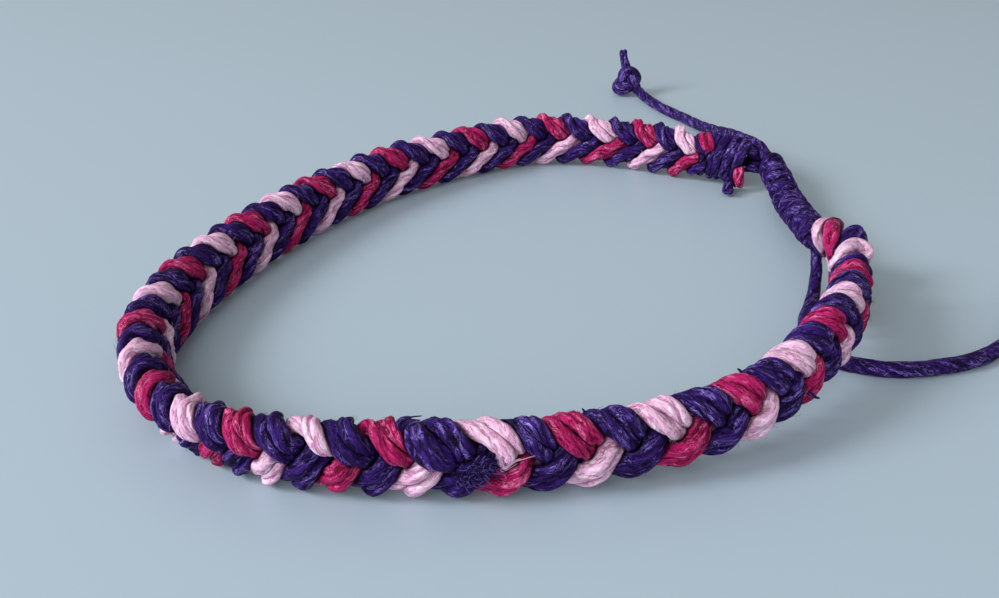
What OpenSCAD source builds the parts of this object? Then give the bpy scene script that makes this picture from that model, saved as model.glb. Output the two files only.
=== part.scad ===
// Braided bracelet of waxed cord, lying on its edge with its knotted closure shut.
// Four doubled strands (two purple, one magenta, one pink) make a herringbone band.
// Millimetres, +Z up, the near side of the ring towards -Y, the table at z = 0.

/* [Braid] */
// Thickness of one braided cord, pressed between its neighbours
braid_cord_d = 0.76; // [0.60:0.02:0.80]
// Distance between two cords that lie side by side in the braid
cord_pitch = 0.87; // [0.84:0.01:0.90]
// Stretch of the band across its width
across_gain = 1.00; // [0.96:0.01:1.08]
// Sides of a braided cord
cord_sides = 5; // [4:1:6]

/* [Closure] */
// Thickness of the free cord of the tails
free_cord_d = 1.1; // [0.9:0.1:1.2]
// Thickness of the sliding knot
knot_d = 2.8; // [2.2:0.1:3.0]
// Depth of the ridges along the sliding knot, as a share of its radius
knot_bump = 0.14; // [0.00:0.02:0.20]
// Height of the wrap that binds the far end of the braid
wrap_h = 5.0; // [4.6:0.1:5.2]
// Thickness of the same wrap, through the band
wrap_t = 3.6; // [3.2:0.1:4.0]
// Size of the end knots on the tails
end_knot_d = 2.8; // [2.2:0.1:3.0]

/* [Hidden] */
$fn = 32;

purple = [0.24, 0.17, 0.46];
magenta = [0.68, 0.14, 0.38];
pink = [0.90, 0.74, 0.84];

// The ring is drawn about its own middle and moved so that its box stands on the origin.
ring_shift = [0.52, 1.08, 0.05];

// The band's route.
// One row for each full turn of the braid pattern, from the far end, anticlockwise from above.
// Columns: x, y, lift off the table, roll (the top edge leans outward).
route = [
    [ 19.4,  21.4, 0.1,  0],
    [ 12.2,  25.4, 0.0,  0],
    [  3.4,  27.0, 0.0,  0],
    [ -5.2,  24.0, 0.0,  0],
    [-12.8,  17.4, 0.0,  0],
    [-18.4,   9.4, 0.0,  0],
    [-22.4,   0.8, 0.0,  0],
    [-24.9,  -8.0, 0.0,  4],
    [-25.3, -16.2, 0.0, 14],
    [-22.0, -23.8, 0.0, 28],
    [-15.3, -28.2, 0.0, 14],
    [ -7.2, -29.2, 0.0,  0],
    [  2.4, -28.3, 0.1,  0],
    [ 12.4, -25.2, 0.6,  0],
    [ 19.2, -18.4, 1.2,  0],
    [ 23.0, -10.6, 1.2,  0],
    [ 24.4,  -3.6, 1.2,  0]];
// Where the braid begins and ends along the route, in turns
turn_first = 0.30;
turn_last = 15.45;
// Turns kept free of stations beside each end, and turns past an end whose stations shape the cord
end_margin = 0.02;
end_reach = 0.3;

// One cord's way through the braid.
// Stations along one turn. Columns: part of the turn, across the band (down is positive),
// through the band (outward is positive), the last two in cord pitches.
lead_way = [
    [-0.07, -0.15,  0.55],
    [ 0.00,  0.60, -0.30],
    [ 0.15,  1.33, -0.50],
    [ 0.32,  1.90,  0.10],
    [ 0.41,  1.25,  0.70],
    [ 0.49,  0.40,  1.25],
    [ 0.56, -0.45,  0.55],
    [ 0.62, -1.25, -0.25],
    [ 0.72, -2.05, -0.30],
    [ 0.79, -1.90,  0.70],
    [ 0.87, -1.00,  1.25]];
trail_way = [
    [ 0.00, -0.65, -0.20],
    [ 0.08,  0.15, -1.10],
    [ 0.21,  0.80, -1.25],
    [ 0.31,  1.80, -1.20],
    [ 0.40,  2.50, -0.35],
    [ 0.47,  2.00,  0.85],
    [ 0.56,  0.90,  0.85],
    [ 0.62,  0.00, -0.20],
    [ 0.70, -0.90, -1.05],
    [ 0.81, -1.85, -0.80],
    [ 0.87, -2.50,  0.35],
    [ 0.94, -1.50,  0.90]];
// Thickness of the closing cord under load, and of the cut ends below the wrap
closing_cord_d = 0.9;
cut_end_d = 1.0;
// Rings of the sliding knot, and the thickness of its first and last one as a share
knot_rings = 15;
knot_end_share = 0.72;
// Sides of the short cords, the tails, the sliding knot and the wrap
short_sides = 6;
tail_sides = 8;
knot_sides = 10;
wrap_sides = 12;
// Where the pattern starts on the first row of the route
pattern_start = 0.87;
// Half height and half thickness of the band, which set how high its middle lies
half_h = 2.5 * cord_pitch * across_gain + braid_cord_d / 2;
half_t = 1.25 * cord_pitch + braid_cord_d / 2;

// The fold of each strand at the loop end.
// Columns: ahead of the braid's end, across (down is positive), outward, in mm.
fold_magenta = [[1.6, 1.75, 0.05], [3.2, 1.60, -0.10], [5.0, 1.30, -0.30], [6.2, 0.60, -0.45],
    [6.8, -0.50, -0.50], [6.3, -1.45, -0.55], [5.0, -1.70, -0.60], [3.6, -0.70, -0.70],
    [2.3, 0.50, -0.95], [1.2, 1.50, -1.10]];
fold_purple_a = [[1.2, 0.85, -0.10], [2.2, 0.75, 0.05], [2.9, 0.35, 0.00], [2.3, -0.15, -0.15],
    [1.2, -0.05, -0.60]];
fold_pink = [[1.2, -1.75, 0.30], [2.0, -1.75, -0.60], [3.0, -1.30, -1.25], [4.4, -1.60, -1.50],
    [5.8, -1.75, -1.50], [6.6, -1.35, -1.55], [5.8, -0.85, -1.65], [4.2, -0.55, -1.80],
    [2.6, -0.40, -1.70], [1.2, -1.10, -1.20]];
fold_purple_b = [[1.2, -0.85, 0.55], [2.6, -1.20, 0.55], [4.4, -1.30, 0.30], [5.6, -1.25, 0.70],
    [4.4, -1.20, 1.15], [2.6, -0.80, 1.45], [1.2, 0.10, 1.20]];
// The closing cord through magenta's fold, in the same columns
loop_way = [[7.8, 0.50, -2.10], [7.1, 0.45, -1.65], [6.0, 0.40, -1.35], [5.2, 0.20, -1.00],
    [4.8, 0.05, -0.40], [5.0, 0.00, 0.15], [5.8, 0.00, 0.40], [6.9, 0.00, 0.40],
    [7.5, 0.05, -0.10], [7.7, 0.10, -1.00]];

// The wrap at the far end. Columns: x, y, z of its middle, share of its height, share of its thickness.
wrap_way = [
    [17.9, 22.75, 2.70, 0.92, 0.90],
    [18.5, 22.40, 2.75, 1.00, 1.00],
    [19.6, 21.80, 2.70, 0.94, 0.96],
    [20.5, 21.30, 2.70, 0.98, 1.00],
    [21.4, 20.80, 2.65, 0.84, 0.86],
    [22.1, 20.40, 2.60, 0.52, 0.50]];
// The sliding knot, from its far end to its near one
knot_way = [[24.4, 19.8, 2.4], [24.7, 16.0, 2.2], [24.7, 12.2, 2.1], [24.5, 8.4, 2.2],
    [24.0, 4.6, 2.5], [23.3, 0.9, 3.0]];

// Route points of the free cord: x, y, z of its centre line, one row for each ring.
closing_way_a = [[22.7, 20.1, 3.1], [23.3, 20.7, 2.6], [24.2, 20.9, 2.5], [24.7, 20.2, 2.7]];
closing_way_b = [[22.5, 19.8, 1.9], [23.1, 20.4, 1.3], [24.1, 20.7, 1.2], [24.6, 20.2, 1.5]];
cut_way_magenta = [[21.2, 18.4, 2.6], [21.1, 18.1, 1.6], [21.0, 18.0, 0.5]];
cut_way_purple = [[20.2, 18.9, 0.7], [20.0, 18.1, 0.6], [19.8, 17.3, 0.6]];
tail_far_way = [[23.6, 20.3, 3.6], [23.2, 21.5, 4.0], [22.2, 24.6, 3.6], [21.8, 28.4, 2.8],
    [21.2, 33.0, 1.7], [20.5, 37.6, 0.8], [19.6, 40.6, 0.53], [18.6, 42.6, 0.53], [17.5, 44.8, 0.53],
    [16.5, 47.6, 0.53], [15.8, 50.2, 0.53], [15.3, 51.7, 0.8]];
tail_near_way = [[23.1, 0.6, 2.2], [23.0, -1.4, 1.9], [22.7, -3.2, 1.2], [22.1, -5.0, 0.7],
    [21.3, -7.0, 0.53], [20.4, -9.4, 0.53], [20.0, -12.0, 0.53], [20.5, -14.2, 0.53], [22.4, -15.8, 0.53],
    [25.4, -16.0, 0.53], [28.4, -15.4, 0.53], [31.0, -14.4, 0.53], [33.6, -12.6, 0.53], [35.8, -10.4, 0.8]];
// End knots: middle, and the tip of the cut end that stands out of each
end_knot_far = [14.1, 52.7, 1.45];
end_tip_far = [13.5, 54.8, 4.8];
end_knot_near = [36.8, -9.2, 1.45];
end_tip_near = [38.0, -8.2, 4.3];

function unit(v) = v / norm(v);
function lerp(a, b, f) = a + (b - a) * f;
// Catmull-Rom value between b and c
function spline(a, b, c, d, f) =
    0.5 * (2 * b + (c - a) * f + (2 * a - 5 * b + 4 * c - d) * f * f + (3 * b - 3 * c + d - a) * f * f * f);
function row_at(rows, i) = i < 0 ? 2 * rows[0] - rows[1]
    : i >= len(rows) ? 2 * rows[len(rows) - 1] - rows[len(rows) - 2] : rows[i];
function along(rows, u) = let (i = max(0, min(len(rows) - 2, floor(u))), f = u - i)
    spline(row_at(rows, i - 1), row_at(rows, i), row_at(rows, i + 1), row_at(rows, i + 2), f);

// The band's frame at turn u: forward along the band, outward, and its middle
function forward(u) = let (a = along(route, u - 0.02), b = along(route, u + 0.02))
    unit([b[0] - a[0], b[1] - a[1], 0]);
function outward(u) = let (t = forward(u)) [t[1], -t[0], 0];
function middle_z(roll, lift) =
    lift + sqrt(pow(half_h * cos(roll), 2) + pow(half_t * sin(roll), 2));
// A point of the band: turn, across (down positive) and outward in mm
function in_band(u, across, out) = let (r = along(route, u), n = outward(u), g = r[3],
        o = out * cos(g) - across * sin(g), h = -across * cos(g) - out * sin(g))
    [r[0], r[1], middle_z(g, r[2])] + n * o + [0, 0, h];

// Stations of one cord, in turns of the route, between the two ends of the braid
function stations(way, quarter) = [for (m = [-2:17]) for (s = way)
    let (u = m + s[0] - pattern_start + quarter / 4)
    if (u > turn_first - end_reach && u < turn_last + end_reach)
        [u, s[1] * cord_pitch * across_gain, s[2] * cord_pitch]];
function station_cut(st, u) = let (k = [for (i = [0:len(st) - 2])
        if (st[i][0] <= u && st[i + 1][0] > u) i][0])
    lerp(st[k], st[k + 1], (u - st[k][0]) / (st[k + 1][0] - st[k][0]));
function cord_line(way, quarter) = let (st = stations(way, quarter)) concat(
    [station_cut(st, turn_first)],
    [for (s = st) if (s[0] > turn_first + end_margin && s[0] < turn_last - end_margin) s],
    [station_cut(st, turn_last)]);
function to_points(line) = [for (s = line) in_band(s[0], s[1], s[2])];
function backwards(list) = [for (i = [len(list) - 1:-1:0]) list[i]];
// A point ahead of the loop end of the braid
function ahead(p) = in_band(turn_last, p[1], p[2]) + forward(turn_last) * p[0];
// The whole strand: out along its leading cord, round the fold, and back along the trailing one
function strand_line(quarter, fold) = concat(
    to_points(cord_line(lead_way, quarter)), [for (p = fold) ahead(p)],
    backwards(to_points(cord_line(trail_way, quarter))));

// Directions of a line of points, and a frame carried along it without twisting
function directions(p) = let (n = len(p)) [for (i = [0:n - 1])
    i == 0 ? unit(p[1] - p[0]) : i == n - 1 ? unit(p[i] - p[i - 1])
    : unit(unit(p[i] - p[i - 1]) + unit(p[i + 1] - p[i]))];
function carried(v, t) = unit(v - (v * t) * t);
function frames(t) = [for (i = 0, u = carried([0.1, 0.2, 1], t[0]); i < len(t);
    i = i + 1, u = i < len(t) ? carried(u, t[i]) : u) u];
function widened(t, p, i) = i == 0 || i == len(p) - 1 ? 1 : 1 / max(0.85, t[i] * unit(p[i + 1] - p[i]));

// The points and faces of closed tubes with n sides. Each line of points has its own radii:
// r[i] is the radius up and down, q[i] the one sideways, at point i.
function tube_points(p, r, q, n) = let (t = directions(p), u = frames(t))
    [for (i = [0:len(p) - 1]) let (v = cross(t[i], u[i])) for (k = [0:n - 1])
        let (a = 360 * (k + 0.5) / n) p[i] + r[i] * cos(a) * u[i] + q[i] * sin(a) * v];
function tube_faces(m, n, from = 0) = concat(
    [for (i = [0:m - 2]) for (k = [0:n - 1]) let (a = from + i * n + k, b = from + i * n + (k + 1) % n)
        for (f = [[a, a + n, b], [b, a + n, b + n]]) f],
    [[for (k = [0:n - 1]) from + k], [for (k = [n - 1:-1:0]) from + (m - 1) * n + k]]);

// One tube, or two lying apart from each other in one solid
module tube(p, r, q, n) {
    polyhedron(tube_points(p, r, q, n), tube_faces(len(p), n), convexity = 10);
}
module cord(p, d, n) { tube(p, [for (x = p) d / 2], [for (x = p) d / 2], n); }
module cord_pair(p, q, d, n) {
    r = [for (i = [0:len(p) + len(q)]) d / 2];
    polyhedron(concat(tube_points(p, r, r, n), tube_points(q, r, r, n)),
        concat(tube_faces(len(p), n), tube_faces(len(q), n, len(p) * n)), convexity = 4);
}

module strand(quarter, fold) {
    p = strand_line(quarter, fold);
    t = directions(p);
    r = [for (i = [0:len(p) - 1]) braid_cord_d / 2 * widened(t, p, i)];
    tube(p, r, r, cord_sides);
}
module wrap() {
    tube([for (w = wrap_way) [w[0], w[1], w[2]]], [for (w = wrap_way) wrap_h / 2 * w[3]],
        [for (w = wrap_way) wrap_t / 2 * w[4]], wrap_sides);
}
module knot() {
    p = [for (i = [0:knot_rings - 1]) along(knot_way, i * (len(knot_way) - 1) / (knot_rings - 1))];
    r = [for (i = [0:knot_rings - 1]) knot_d / 2 * (i == 0 || i == knot_rings - 1 ? knot_end_share
        : i % 2 == 1 ? 1 : 1 - knot_bump)];
    tube(p, r, r, knot_sides);
}
module end_knot(middle, tip) {
    v = tip - middle;
    translate(middle) {
        sphere(d = end_knot_d);
        rotate([0, acos(v[2] / norm(v)), atan2(v[1], v[0])]) cylinder(d = free_cord_d, h = norm(v));
    }
}

module strand_magenta() { color(magenta) translate(ring_shift) strand(0, fold_magenta); }
module strand_purple_a() { color(purple) translate(ring_shift) strand(1, fold_purple_a); }
module strand_pink() { color(pink) translate(ring_shift) strand(2, fold_pink); }
module strand_purple_b() { color(purple) translate(ring_shift) strand(3, fold_purple_b); }
module end_wrap() { color(purple) translate(ring_shift) wrap(); }
module cut_end_magenta() {
    color(magenta) translate(ring_shift) cord(cut_way_magenta, cut_end_d, short_sides);
}
module cut_end_purple() { color(purple) translate(ring_shift) cord(cut_way_purple, cut_end_d, short_sides); }
module closing_cords() {
    color(purple) translate(ring_shift)
        cord_pair(closing_way_a, closing_way_b, closing_cord_d, short_sides);
}
module closing_loop() {
    color(purple) translate(ring_shift) cord([for (p = loop_way) ahead(p)], closing_cord_d, short_sides);
}
module sliding_knot() { color(purple) translate(ring_shift) knot(); }
module tail_far() { color(purple) translate(ring_shift) cord(tail_far_way, free_cord_d, tail_sides); }
module tail_near() { color(purple) translate(ring_shift) cord(tail_near_way, free_cord_d, tail_sides); }
module tail_far_knot() { color(purple) translate(ring_shift) end_knot(end_knot_far, end_tip_far); }
module tail_near_knot() { color(purple) translate(ring_shift) end_knot(end_knot_near, end_tip_near); }

strand_magenta();
strand_purple_a();
strand_pink();
strand_purple_b();
end_wrap();
cut_end_magenta();
cut_end_purple();
closing_cords();
closing_loop();
sliding_knot();
tail_far();
tail_near();
tail_far_knot();
tail_near_knot();
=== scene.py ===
# %% [markdown]
# # A braided bracelet of waxed cord
#
# The bracelet is a flat herringbone braid of doubled waxed cords, laid on its edge in a loop.
# A coil of purple cord binds one end of the braid. From there a closing cord runs through a row of
# square knots to the folds at the braid's other end, and its two tails lie loose on the table.
#
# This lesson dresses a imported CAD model: each piece lies where the model's own piece lies, and adds the
# looks. The plan is: camera, the lines that the cords follow, one Geometry Nodes tree that sweeps a cord
# along any line, the finishes, the cords themselves, a step that presses them flat against each other,
# the loose fibres, and last the table and the light.

# %% The frame
import math

import bpy
import numpy as np
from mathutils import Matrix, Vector, kdtree


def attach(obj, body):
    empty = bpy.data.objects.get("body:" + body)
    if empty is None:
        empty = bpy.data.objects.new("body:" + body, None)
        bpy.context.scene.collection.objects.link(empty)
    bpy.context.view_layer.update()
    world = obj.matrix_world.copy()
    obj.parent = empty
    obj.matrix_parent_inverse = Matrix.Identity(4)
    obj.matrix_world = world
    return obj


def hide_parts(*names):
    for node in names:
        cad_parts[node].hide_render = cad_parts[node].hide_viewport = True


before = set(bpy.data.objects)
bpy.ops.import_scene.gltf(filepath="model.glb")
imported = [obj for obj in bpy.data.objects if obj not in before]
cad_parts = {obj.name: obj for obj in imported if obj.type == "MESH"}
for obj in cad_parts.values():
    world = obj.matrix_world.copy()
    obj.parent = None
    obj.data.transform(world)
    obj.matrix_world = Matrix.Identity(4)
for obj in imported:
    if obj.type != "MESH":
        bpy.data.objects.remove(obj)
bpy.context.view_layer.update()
MM = 0.001

# %% [markdown]
# ## The camera
#
# The picture was taken from just above the table, with the near side of the ring in front. A camera is
# found from a few things that are known in the picture: the table is flat, the cords have one thickness
# everywhere, and the pattern repeats at one length. They give a view 26.5 degrees down, along +Y.

# %% The camera
# Rows of points are measured about one middle. This leads from there to the frame's origin, in mm
RING_SHIFT = np.array([0.52, 1.08, 0.05])
EYE = np.array([-1.8, -79.0, 37.31]) + RING_SHIFT
LOOK_DOWN = 26.5
LENS, SENSOR = 39.03, 36.0
SEEN_FROM, SEEN_TO = 1.0, 2000.0


def in_scene(name, data):
    """A new object with this data, in the scene."""
    thing = bpy.data.objects.new(name, data)
    bpy.context.scene.collection.objects.link(thing)
    return thing


camera_data = bpy.data.cameras.new("picture_camera")
camera_data.lens = LENS
camera_data.sensor_width = SENSOR
camera_data.clip_start = SEEN_FROM * MM
camera_data.clip_end = SEEN_TO * MM
camera = in_scene("picture_camera", camera_data)
camera.location = EYE * MM
camera.rotation_euler = (math.radians(90 - LOOK_DOWN), 0, 0)
bpy.context.scene.camera = camera
print("camera at", [round(v, 1) for v in EYE], "mm")

# %% [markdown]
# ## The lines that the cords follow
#
# A cord is thin and long, so its shape is its centre line. The lines are given as a few rows of
# points in millimetres, much as in the part's source. A smooth curve through the rows is then cut into
# equal short steps.

# %% Smooth lines through given points
STEP = 0.16
POINTS_PER_ROW = 16


def along(rows, u):
    """The value at place u, counted in rows, of the Catmull-Rom curve through the rows."""
    i = max(0, min(len(rows) - 2, math.floor(u)))
    f, b, c = u - i, rows[i], rows[i + 1]
    # Past either end, one more row in line with the last two
    a = rows[i - 1] if i > 0 else 2 * b - c
    d = rows[i + 2] if i + 2 < len(rows) else 2 * c - b
    square, cube = 2 * a - 5 * b + 4 * c - d, 3 * b - 3 * c + d - a
    return 0.5 * (2 * b + (c - a) * f + square * f ** 2 + cube * f ** 3)


def reaches_of(line):
    """How far along the line each of its points lies, in mm."""
    return np.concatenate([[0], np.cumsum(np.linalg.norm(np.diff(line[:, :3], axis=0), axis=1))])


def even_steps(points, step=STEP):
    """The same line with its points a step apart; a fourth column, if any, goes along."""
    points = np.array(points, float)
    reach = reaches_of(points)
    places = np.linspace(0, reach[-1], max(2, round(reach[-1] / step) + 1))
    return np.stack([np.interp(places, reach, column) for column in points.T], axis=1)


def smooth_line(rows, step=STEP):
    """Points a step apart on the curve through the rows."""
    rows = np.array(rows, float)
    fine = [along(rows, u) for u in np.arange(0, len(rows) - 1 + 1e-6, 1 / POINTS_PER_ROW)]
    return even_steps(fine, step)


def length_of(line):
    """The line's length in mm."""
    return float(reaches_of(line)[-1])


# %% The two tails
# The first rows of each lie inside the sliding knot, and the rest are the free cord
FREE_CORD = 1.1
far_tail_inside = [(24.2, 16.4, 2.3), (24.2, 17.5, 2.6), (24.0, 18.5, 3.0), (23.8, 19.4, 3.3)]
far_tail_rows = [
    (23.6, 20.3, 3.45), (23.2, 21.5, 3.85), (22.2, 24.6, 3.6), (21.8, 28.4, 2.8), (21.2, 33.0, 1.7),
    (20.5, 37.6, 0.8), (19.6, 40.6, 0.53), (18.6, 42.6, 0.53), (17.5, 44.8, 0.53), (16.5, 47.6, 0.53),
    (15.8, 50.2, 0.53), (15.3, 51.7, 0.8)]
near_tail_inside = [(23.8, 4.0, 2.5), (23.7, 2.2, 2.4)]
near_tail_rows = [
    (23.5, 0.5, 2.2), (23.15, -1.4, 1.9), (22.7, -3.2, 1.2), (22.1, -5.0, 0.7), (21.3, -7.0, 0.53),
    (20.4, -9.4, 0.53), (20.0, -11.8, 0.53), (20.5, -13.8, 0.53), (22.4, -15.3, 0.53),
    (25.4, -15.9, 0.53), (28.4, -15.4, 0.53), (31.0, -14.4, 0.53), (33.6, -12.5, 0.53), (35.8, -10.4, 0.8)]


def split_line(inside, rows):
    """One smooth line, cut where the free cord starts: the part inside the knot, and the free part."""
    whole = smooth_line(inside + rows)
    start = int(np.linalg.norm(whole - np.array(rows[0]), axis=1).argmin())
    return whole[:start + 1] + RING_SHIFT, whole[start:] + RING_SHIFT


far_tail_link, far_tail_line = split_line(far_tail_inside, far_tail_rows)
near_tail_link, near_tail_line = split_line(near_tail_inside, near_tail_rows)
print("far tail %.1f mm, near tail %.1f mm" % (length_of(far_tail_line), length_of(near_tail_line)))

# %% [markdown]
# ## One cord's way through the braid
#
# In a braid of four doubled strands every cord does the same thing, a quarter of a turn later than the
# one before it. So one table holds the way of the leading cord of a pair, another the way of the cord
# that follows it, and the band's route bends both round the ring. The leading cord goes out along the
# whole braid, round a fold at the loop end, and comes back as the following one.

# %% The band's route and the cords' ways
BRAID_CORD = 1.0
ACROSS_PITCH, OUT_PITCH = 0.82, 0.79
TURN_FIRST, TURN_LAST, PATTERN_START = 0.06, 15.45, 0.87
# On the right the braid is drawn tighter, so that it is less high there: by how much, where and how far
DRAWN_TIGHT, TIGHTEST_TURN, TIGHT_REACH = 0.13, 13.7, 1.9
# The band's middle line. Columns: x, y and height in mm, roll in degrees
route = np.array([
    (19.4, 21.1, 0.1, 0), (12.0, 25.7, 0, 0), (2.7, 27.5, 0, 0), (-5.35, 23.35, 0, 0),
    (-12.7, 16.9, 0, 2), (-18.2, 9.2, 0, 8), (-22.2, 0.75, 0, 12), (-24.9, -8.0, 0, 12),
    (-25.2, -16.3, 0, 14), (-21.7, -23.35, 0, 28), (-15.6, -27.7, 0, 14), (-7.3, -28.9, 0, 0),
    (2.4, -28.2, 0, 0), (12.3, -25.1, 0.8, -7), (18.8, -18.7, 1.8, -12), (22.8, -10.9, 1.4, -8),
    (24.4, -3.6, 0.1, 0)])
# Columns of both ways: part of a turn, across the band (down is positive), through it, in cord pitches
ways = {
    "lead": [
        (-0.07, -0.15, 0.55), (0.00, 0.60, -0.30), (0.15, 1.33, -0.50), (0.32, 1.90, 0.10),
        (0.41, 1.25, 0.70), (0.49, 0.40, 1.25), (0.56, -0.45, 0.55), (0.62, -1.25, -0.25),
        (0.72, -2.05, -0.30), (0.79, -1.90, 0.70), (0.87, -1.00, 1.25)],
    "trail": [
        (0.00, -0.65, -0.20), (0.08, 0.15, -1.10), (0.21, 0.80, -1.25), (0.31, 1.80, -1.20),
        (0.40, 2.50, -0.35), (0.47, 2.00, 0.85), (0.56, 0.90, 0.85), (0.62, 0.00, -0.20),
        (0.70, -0.90, -1.05), (0.81, -1.85, -0.80), (0.87, -2.50, 0.35), (0.94, -1.50, 0.90)]}
# The middles of the cords reach 2.5 pitches across the band and 1.25 through it
half_height = 2.5 * ACROSS_PITCH + BRAID_CORD / 2
half_depth = 1.25 * OUT_PITCH + BRAID_CORD / 2
print("band %.1f mm high and %.1f mm thick" % (2 * half_height, 2 * half_depth))

# %% [markdown]
# A braid made by hand isn't quite even: one leaf swells, another tucks under its neighbour. A short list
# of changes holds the ones that are plain in the picture. Each is a soft bump on one cord's way, so the
# cords beside it stay where they are and the pressing step later makes room.

# %% The uneven leaves
# Columns: strand, way, turn, reach, then what is added to the turn, across, outward and to the thickness
uneven_leaves = [
    ("pink", "lead", 10.50, 0.20, 0, -0.10, -0.95, -0.50),
    ("pink", "trail", 10.55, 0.14, 0, 0.05, 0.12, 0.02),
    ("purple_b", "lead", 10.73, 0.14, -0.03, 0, 0.05, 0.12),
    ("purple_b", "trail", 10.80, 0.14, -0.03, 0, 0, 0.12),
    ("purple_a", "lead", 11.22, 0.17, -0.03, 0, 0.25, 0.85),
    ("purple_a", "trail", 11.33, 0.16, 0.03, 0.15, 0, 0.45),
    ("pink", "lead", 11.48, 0.14, 0.11, -0.10, 0.10, 0.05),
    ("pink", "trail", 11.57, 0.14, 0.08, 0, 0, 0),
    ("magenta", "lead", 11.60, 0.14, 0.05, 0.25, 0.10, 0.28),
    ("purple_b", "lead", 11.75, 0.12, 0.04, 0, 0, 0)]
# After these, the lead cord of each pair is long and full, and covers part of its partner
for strand, turn, partner_turn, swell in (
        ("pink", 12.10, 12.17, 0.16), ("purple_b", 12.36, 12.43, 0.12), ("magenta", 12.60, 12.68, 0.16),
        ("purple_a", 12.86, 12.93, 0.12), ("pink", 13.10, 13.18, 0.16)):
    uneven_leaves += [(strand, "lead", turn, 0.14, 0, 0.30, 0.05, swell),
                      (strand, "trail", partner_turn, 0.14, 0, -0.05, -0.10, 0.05)]
print(len(uneven_leaves), "uneven leaves")

# %% The folds at the loop end
# Columns: ahead of the braid's end, across (down is positive) and outward, in mm, and share of the thickness
folds = {
    "magenta": [
        (1.6, 1.75, 0.05, 1), (3.2, 1.60, -0.10, 1), (5.0, 1.30, -0.30, 1.05), (6.2, 0.60, -0.45, 1.15),
        (6.8, -0.50, -0.50, 1.2), (6.1, -1.50, -0.75, 1.25), (4.5, -1.75, -1.00, 1.25),
        (3.65, -1.35, -1.00, 1.2), (3.15, -0.75, -0.90, 1.05), (2.85, 0.10, -0.70, 1)],
    "purple_a": [
        (1.2, 0.85, -0.10, 1), (2.2, 0.75, 0.05, 1), (2.9, 0.35, 0.00, 1), (2.3, -0.15, -0.15, 1),
        (1.2, -0.05, -0.60, 1)],
    "pink": [
        (0.9, -1.50, 1.25, 1), (1.2, -1.95, 1.00, 1), (1.0, -2.20, 0.35, 1.05), (0.0, -2.15, -0.35, 1.1),
        (-0.8, -1.80, -0.85, 1), (-0.45, -1.10, -1.00, 1), (1.8, -0.10, -0.80, 1), (4.7, 0.50, -0.75, 0.9),
        (5.35, 0.10, -1.25, 0.85), (5.1, -0.70, -1.75, 0.85), (5.1, -1.40, -1.95, 0.85),
        (5.6, -1.85, -1.65, 0.85), (6.1, -1.90, -1.15, 0.75), (6.5, -1.45, -0.55, 0.65),
        (6.5, -0.70, -0.10, 0.65), (4.45, -0.50, -0.10, 0.8)],
    "purple_b": [
        (2.5, -0.30, 0.10, 1), (2.25, -0.70, -0.45, 1), (3.4, -1.10, -0.25, 1), (4.35, -1.35, 0.10, 1),
        (5.0, -1.50, 0.45, 1), (5.4, -1.50, 0.95, 1), (5.15, -1.30, 1.25, 1), (4.35, -0.80, 1.25, 1),
        (2.5, 0.30, 1.00, 1)]}
# The closing cord through magenta's fold
loop_way = [
    (7.8, 0.50, -2.10), (7.1, 0.45, -1.65), (6.0, 0.40, -1.35), (5.2, 0.20, -1.00), (4.8, 0.05, -0.40),
    (5.0, 0.00, 0.15), (5.8, 0.00, 0.40), (6.9, 0.00, 0.40), (7.5, 0.05, -0.10), (7.7, 0.10, -1.00)]


# %% From the band's own directions to the table's
# A short step along the band, in turns
A_LITTLE = 0.02


def forward(u):
    """The way along the band at turn u, level with the table."""
    step = along(route, u + A_LITTLE) - along(route, u - A_LITTLE)
    return np.array([step[0], step[1], 0]) / math.hypot(step[0], step[1])


# The near band's upper edge is dragged along the band a little. Columns: turn, drag of the edge in turns
edge_drag = np.array([
    (9.4, 0), (9.8, 0.02), (10.2, 0.03), (10.5, 0.035), (10.7, 0.05), (10.95, 0.045), (11.1, 0.055),
    (11.25, 0), (11.45, -0.03), (11.65, -0.02), (11.9, 0.015), (12.15, -0.02), (12.4, 0)])
# How high above the band's middle the drag is whole, in mm, and the most of it at any height
DRAG_HEIGHT, MOST_DRAG = 2.0, 1.2


def in_band(u, across, out):
    """The place of a point that lies across and outward of the band's middle at turn u."""
    u = u - np.interp(u, *edge_drag.T) * min(max(-across / DRAG_HEIGHT, 0), MOST_DRAG)
    x, y, lift, roll = along(route, u)
    ahead_way = forward(u)
    outward = np.array([ahead_way[1], -ahead_way[0], 0])
    g = math.radians(roll)
    middle = lift + math.hypot(half_height * math.cos(g), half_depth * math.sin(g))
    up = -across * math.cos(g) - out * math.sin(g)
    return np.array([x, y, middle + up]) + outward * (out * math.cos(g) - across * math.sin(g))


def ahead(row):
    """The place of a row of a fold, ahead of the loop end of the braid."""
    return in_band(TURN_LAST, row[1], row[2]) + forward(TURN_LAST) * row[0]


def bump(distance, reach):
    """1 at no distance, falling softly to 0 at reach."""
    return 0.5 + 0.5 * math.cos(math.pi * min(abs(distance) / reach, 1.0))


# The pattern's turns, from before the braid's first to past its last
PATTERN_TURNS = range(-2, 18)
# At the coil the braid is narrow: its share of the width there, and where and over how far it widens
START_SHARE, WIDENS_FROM, WIDENS_OVER = 0.48, 0.05, 0.42


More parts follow.
